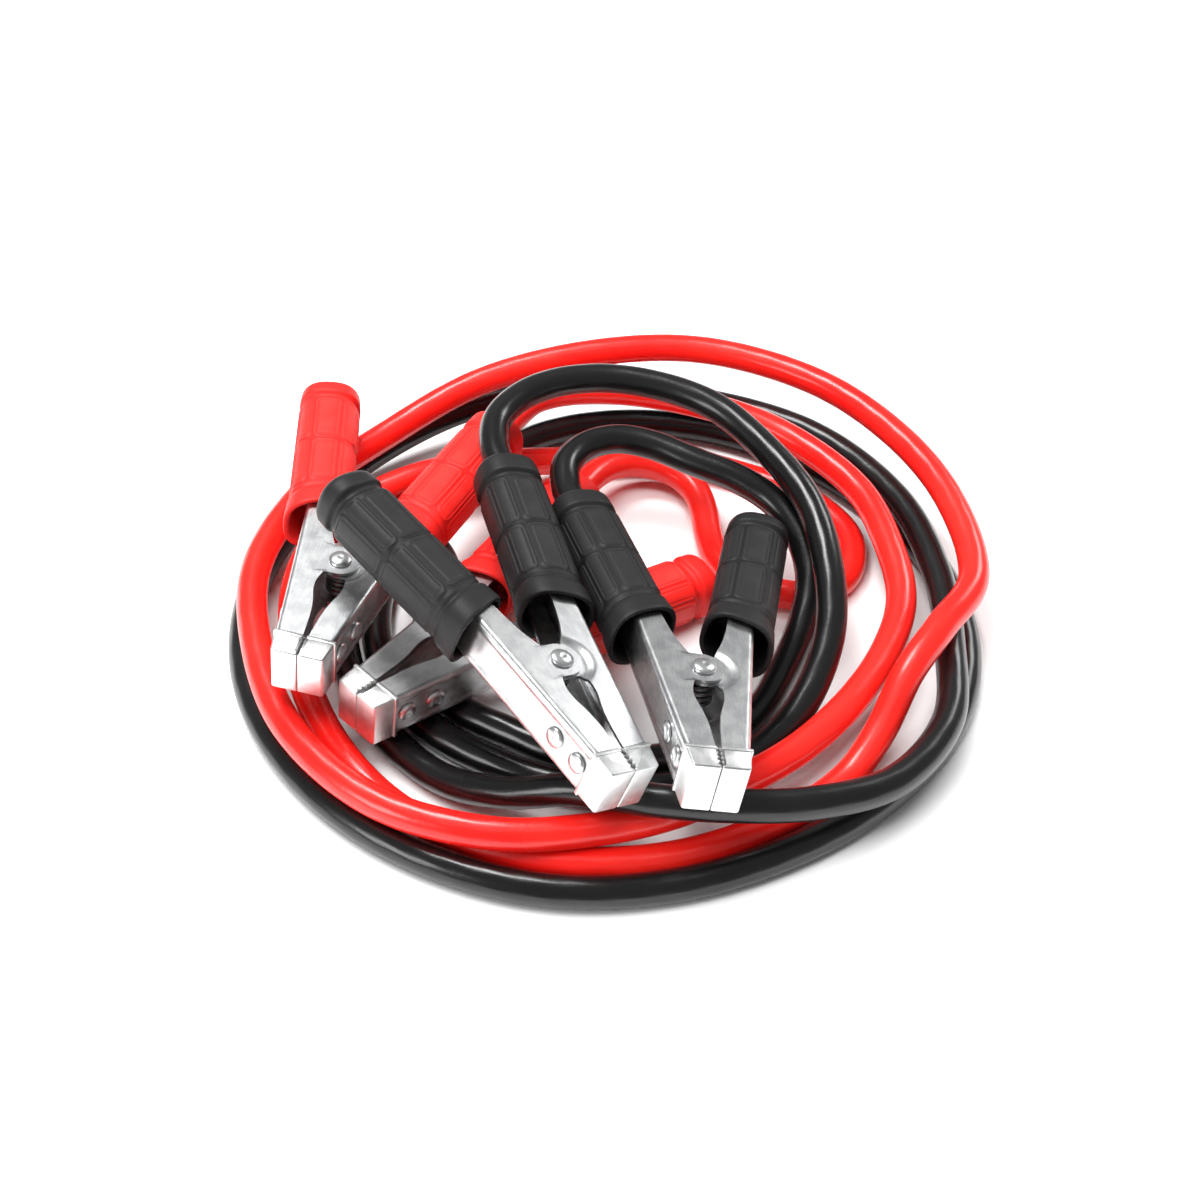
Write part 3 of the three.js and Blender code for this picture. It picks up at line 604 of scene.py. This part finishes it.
def domed_head(radius, rise, shank, depth):
    """A shank, a flat underside, a low rim and a dome: the dome's radius and height follow the
    cosine and the sine of one angle, with a small peened dimple in its middle."""
    turn = np.linspace(.08, math.pi / 2 - .02, 12)
    dome = np.stack((radius * np.cos(turn), HEAD_RIM + (rise - HEAD_RIM) * np.sin(turn) ** .9), -1)
    dome[:, 1] -= DIMPLE_DEPTH * step(DIMPLE_RADIUS * radius - dome[:, 0], 0, DIMPLE_FADE * radius)
    return np.vstack(((shank, -depth), (shank, .02), (radius, .02), dome))


def rivet_rings(x, side):
    """A rivet stood on the arm's back, its axis square to the back."""
    head = turned_rings(domed_head(RIVET_HEAD, RIVET_RISE, RIVET_SHANK, RIVET_DEPTH), 28)
    along, level, out = head[..., 0], head[..., 1], head[..., 2]
    c, s = math.cos(ARM_TURN), math.sin(ARM_TURN)
    over = back_at(x) - RIVET_SUNK - along * s + out * c
    return np.stack((x + along * c + out * s, side * over, level * side), -1)


def pin_rings():
    """The pivot pin: two domed heads on one shank, with a spacer between the inner ears."""
    upper = domed_head(PIN_HEAD, PIN_RISE, PIN_RADIUS, 0)[1:]
    upper[:, 1] += ARM_WIDTH / 2 + PIN_SEAT
    spacer = SPRING_RADIUS - SPRING_WIRE / 2 - GAP
    upper = np.vstack(((spacer, SPACER_HALF - SPACER_EDGE), (PIN_RADIUS, SPACER_HALF), upper))
    lower = (upper * (1, -1))[::-1]
    return turned_rings(np.vstack((lower, upper)), 32)


def spring_rings(cable_side):
    """Round wire wound round the pin: angle and height grow together, and each end leaves along
    its own direction as a straight leg."""
    share = np.linspace(0, 1, SPRING_TURNS * 30 + 1)
    turn = np.radians(cable_side * (SPRING_START - (360 * SPRING_TURNS - SPRING_SHORT) * share))
    height = SPRING_PITCH * SPRING_TURNS * (share - .5)
    coil = np.stack((SPRING_RADIUS * np.cos(turn), SPRING_RADIUS * np.sin(turn), height), -1)
    level = np.array((1, 1, 0))
    start, end = unit((coil[0] - coil[1]) * level), unit((coil[-1] - coil[-2]) * level)
    reach = np.linspace(SPRING_LEG, LEG_START, 10)[:, None]
    line = np.vstack((coil[0] + start * reach, coil, coil[-1] + end * reach[::-1]))
    return tube_rings(line, SPRING_WIRE / 2, 12)


def grip_profile(takes_cable):
    """The grip's rings as distance from its mouth and half width, and which lie outside. They run
    from inside the far end over the end cap, its groove, the body and the flared collar, then
    round the mouth and back inside. The end is a dome, or a rounded face with a lipped bore."""
    width = GRIP_WIDTH / 2
    cap = width + CAP_PROUD
    quarter = np.linspace(0, math.pi / 2, 13)
    sine, fall = np.sin(quarter), 1 - np.cos(quarter)
    if takes_cable:
        bore = CABLE_RADIUS + BORE_ROOM
        face = bore + BORE_LIP
        end_u = np.concatenate(((GRIP_LENGTH - CABLE_HOLD, GRIP_LENGTH - BORE_FACE),
                                GRIP_LENGTH - BORE_LIP + BORE_LIP * sine[4:],
                                GRIP_LENGTH - END_ROUND * fall[1:]))
        end_w = np.concatenate(((bore, bore), bore + BORE_LIP * fall[4:] * .9 + .1,
                                face + (cap - face) * sine[1:]))
    else:
        end_u = GRIP_LENGTH - DOME_RISE * fall[1:]
        end_w = cap * sine[1:] ** DOME_POWER
    cap_u, cap_w = np.array(CAP_PROFILE).T
    skirt_u, skirt_w = np.array(SKIRT_PROFILE).T
    edge = GRIP_LENGTH - CAP_LENGTH
    body_u = np.linspace(edge - BODY_BACK, BODY_FRONT, BODY_RINGS)
    u = np.concatenate((end_u, (end_u[-1] - 2,), edge + cap_u, body_u, skirt_u))
    w = np.concatenate((end_w, (cap + .1,), width + cap_w, np.full_like(body_u, width), width + skirt_w))
    return u, w, np.arange(len(u)) < len(u) - len(skirt_u)


def panel_relief(u, turn):
    """Height of the raised panels over the grip's body: the distance from each panel's rounded
    box, turned into a soft step, with a fine line sunk just inside its edge."""
    ring = math.pi * GRIP_WIDTH * .97
    pitch = ring / PANEL_COLUMNS
    aside = (turn / (2 * math.pi) * ring + pitch / 2) % pitch - pitch / 2
    along = np.min([np.abs(u - row) for row in PANEL_ROWS], axis=0)[:, None]
    dx = np.abs(aside)[None] - (PANEL_HALF_WIDTH - PANEL_CORNER)
    dy = along - (PANEL_HALF_LENGTH - PANEL_CORNER)
    outside = np.hypot(np.maximum(dx, 0), np.maximum(dy, 0))
    distance = outside + np.minimum(np.maximum(dx, dy), 0) - PANEL_CORNER
    line = np.exp(-((distance + LINE_IN) / LINE_WIDTH) ** 2)
    return step(.3 - distance, 0, .7) * PANEL_RISE - line * PANEL_LINE - PANEL_GROUND


def grip_rings(side, takes_cable):
    """A moulded grip. A section is a superellipse: cosine and sine to the power 2 / n, times half
    the width and half the height, where n grows from 2 in the bore to 2.55 on the body. The
    panels' relief moves it outwards, and the mouth's slant fades out along the grip."""
    u, w, outside = grip_profile(takes_cable)
    flatness = GRIP_HEIGHT / GRIP_WIDTH
    turn = full_turn(GRIP_SIDES)
    square = 2 / (2 + SQUARENESS * step(w, *SQUARE_BETWEEN))[:, None]
    c, s = np.cos(turn), np.sin(turn)
    height = w[:, None] * (flatness + (1 - flatness) * step(ROUND_UNDER - w[:, None], 0, ROUND_FADE))
    v = np.sign(c) * np.abs(c) ** square * w[:, None]
    z = np.sign(s) * np.abs(s) ** square * height
    back = step(GRIP_LENGTH - CAP_LENGTH - RELIEF_BACK - u, 0, RELIEF_FADE)
    front = step(u, *RELIEF_FRONT)
    relief = panel_relief(u, turn) * (outside * front * back)[:, None]
    grown = 1 + relief / np.hypot(v, z)
    v, z = v * grown, z * grown
    slant = math.tan(MOUTH_TURN) * step(SLANT_END - u, 0, SLANT_FADE)[:, None]
    along = u[:, None] - slant * v
    x, y = on_handle(along, v)
    # the second value is the relief turned into the share of painted groove shade
    return np.stack((x, y * side, z), -1), relief * SHADE_PER_MM


def on_handle(along, over):
    """x and y in the clamp of a point a distance along the grip's axis and over it."""
    c, s = math.cos(HANDLE_TURN), math.sin(HANDLE_TURN)
    mouth_height = back_at(-MOUTH_BACK) - HANDLE_INSET
    return -MOUTH_BACK - c * along + s * over, mouth_height + s * along + c * over


for clamp, (colour, cable_side, *_) in CLAMPS.items():
    for side in (-1, 1):
        part = "cable" if side == cable_side else "free"
        body = ROOT if side == cable_side else f"{clamp}_free_side"
        node = f"{clamp}_{part}"
        sections = arm_sections(side, side == 1)
        arm = with_soft_edges(clamp_shell(f"{node}_arm_folded", clamp, sections, True))
        dressed(arm, f"{node}_arm", "arm", body)
        blocks = [clamp_shell(f"{node}_nose_{number}", clamp, rings, True)
                  for number, rings in enumerate(nose_cap(side))]
        dressed(one_mesh(f"{node}_nose_pressed", blocks), f"{node}_nose_plate", "nose_plate", body)
        for number, x in enumerate(RIVETS, 1):
            head = clamp_shell(f"{node}_rivet_{number}_domed", clamp, rivet_rings(x, side))
            dressed(head, f"{node}_rivet_{number}", "rivet", body)
        rings, relief = grip_rings(side, side == cable_side)
        grip = clamp_shell(f"{node}_grip_moulded", clamp, rings, False, relief=relief)
        dressed(grip, f"{node}_grip", f"{colour}_grip", body)
    pin = clamp_shell(f"{clamp}_pin_domed", clamp, pin_rings())
    dressed(pin, f"{clamp}_pivot_pin", "rivet", ROOT)
    spring = clamp_shell(f"{clamp}_spring_wound", clamp, spring_rings(cable_side))
    dressed(spring, f"{clamp}_spring", "spring", ROOT)


# ---- cables


def cable_start(name):
    """The cable's first points on the grip's axis: one inside its end, and two past it."""
    along = np.array((-CABLE_HOLD, *CABLE_LEAD)) + GRIP_LENGTH
    x, y = on_handle(along, 0)
    cable_side = CLAMPS[name][1]
    return placed(name, np.stack((x, y * cable_side, 0 * x), -1))


def cable(name, start, route, end):
    """A jacketed cable along its route, which leaves one clamp and goes into another."""
    angle, radius, height = np.array(route).T
    angle = np.radians(angle)
    stations = np.stack((radius * np.cos(angle), radius * np.sin(angle), height), -1) + COIL_MIDDLE
    line = smooth_line(np.vstack((cable_start(start), stations, cable_start(end)[::-1])), SPACING)
    rings = tube_rings(line, CABLE_RADIUS * MM, JACKET_SIDES)
    along = np.arange(len(line))[:, None] * SPACING
    turn = full_turn(JACKET_SIDES)
    run = np.stack(np.broadcast_arrays(np.cos(turn), np.sin(turn), along * SCUFF_STRETCH), -1)
    lay = np.sin(STRANDS * (turn + 2 * math.pi * along / LAY_LENGTH))
    piece = shell(f"{name}_jacket", rings, run=run, lay=lay)
    dressed(piece, name, name.replace("cable", "jacket"), ROOT)


cable("black_cable", "black_clamp_1", BLACK_ROUTE, "black_clamp_2")
cable("red_cable", "red_clamp_2", RED_ROUTE, "red_clamp_1")


# ---- camera, floor and light


def camera():
    """At the photograph's angle: 43 degrees above the floor, straight in front."""
    middle, rise, away = np.array((-.0026, -.0075, .02455)), math.radians(43), .82
    data = bpy.data.cameras.new("camera")
    data.lens, data.sensor_width = 54.12, 36
    data.clip_start, data.clip_end = .01, 20
    eye = bpy.data.objects.new("camera", data)
    eye.location = middle + away * np.array((0, -math.cos(rise), math.sin(rise)))
    eye.rotation_euler = (math.pi / 2 - rise, 0, 0)
    bpy.context.scene.collection.objects.link(eye)
    bpy.context.scene.camera = eye


def floor():
    """A pale floor far larger than the set."""
    reach = 6
    corners = [(-reach, -reach, 0), (reach, -reach, 0), (reach, reach, 0), (-reach, reach, 0)]
    mesh = bpy.data.meshes.new("floor")
    mesh.from_pydata(corners, [], [(0, 1, 2, 3)])
    plane = bpy.data.objects.new("floor", mesh)
    bpy.context.scene.collection.objects.link(plane)
    pale = Finish("pale_floor", Roughness=.9)
    pale.shader.inputs["Base Color"].default_value = (.93, .93, .93, 1)
    pale.shader.inputs["Specular IOR Level"].default_value = 0
    mesh.materials.append(pale.material)


def softbox(name, place, toward, size, watts, mirrored=True):
    """A square area light that faces a point. Where it isn't mirrored, it lights the set but
    doesn't show in the plated steel."""
    data = bpy.data.lights.new(name, "AREA")
    data.shape, data.size, data.energy = "SQUARE", size, watts
    lamp = bpy.data.objects.new(name, data)
    ahead = unit(np.subtract(toward, place))
    lamp.location = place
    lamp.rotation_euler = (math.acos(-ahead[2]), 0, math.atan2(-ahead[0], ahead[1]))
    lamp.visible_glossy = mirrored
    bpy.context.scene.collection.objects.link(lamp)


camera()
floor()
softbox("fill", place=(-.3, -.1, 1.9), toward=(0, 0, 0), size=1.6, watts=62, mirrored=False)
softbox("overhead", place=(-.35, .5, 1.4), toward=(0, 0, 0), size=.42, watts=13)
softbox("left_front", place=(-1.3, -.9, .7), toward=(0, 0, .03), size=.6, watts=10)
softbox("right_back", place=(1.0, 1.0, .9), toward=(0, 0, .03), size=.4, watts=5)
world = bpy.data.worlds.new("studio")
world.use_nodes = True
background = world.node_tree.nodes["Background"].inputs
background["Color"].default_value = (1, 1, 1, 1)
background["Strength"].default_value = .27
bpy.context.scene.world = world
bpy.context.scene.view_settings.view_transform = "Standard"
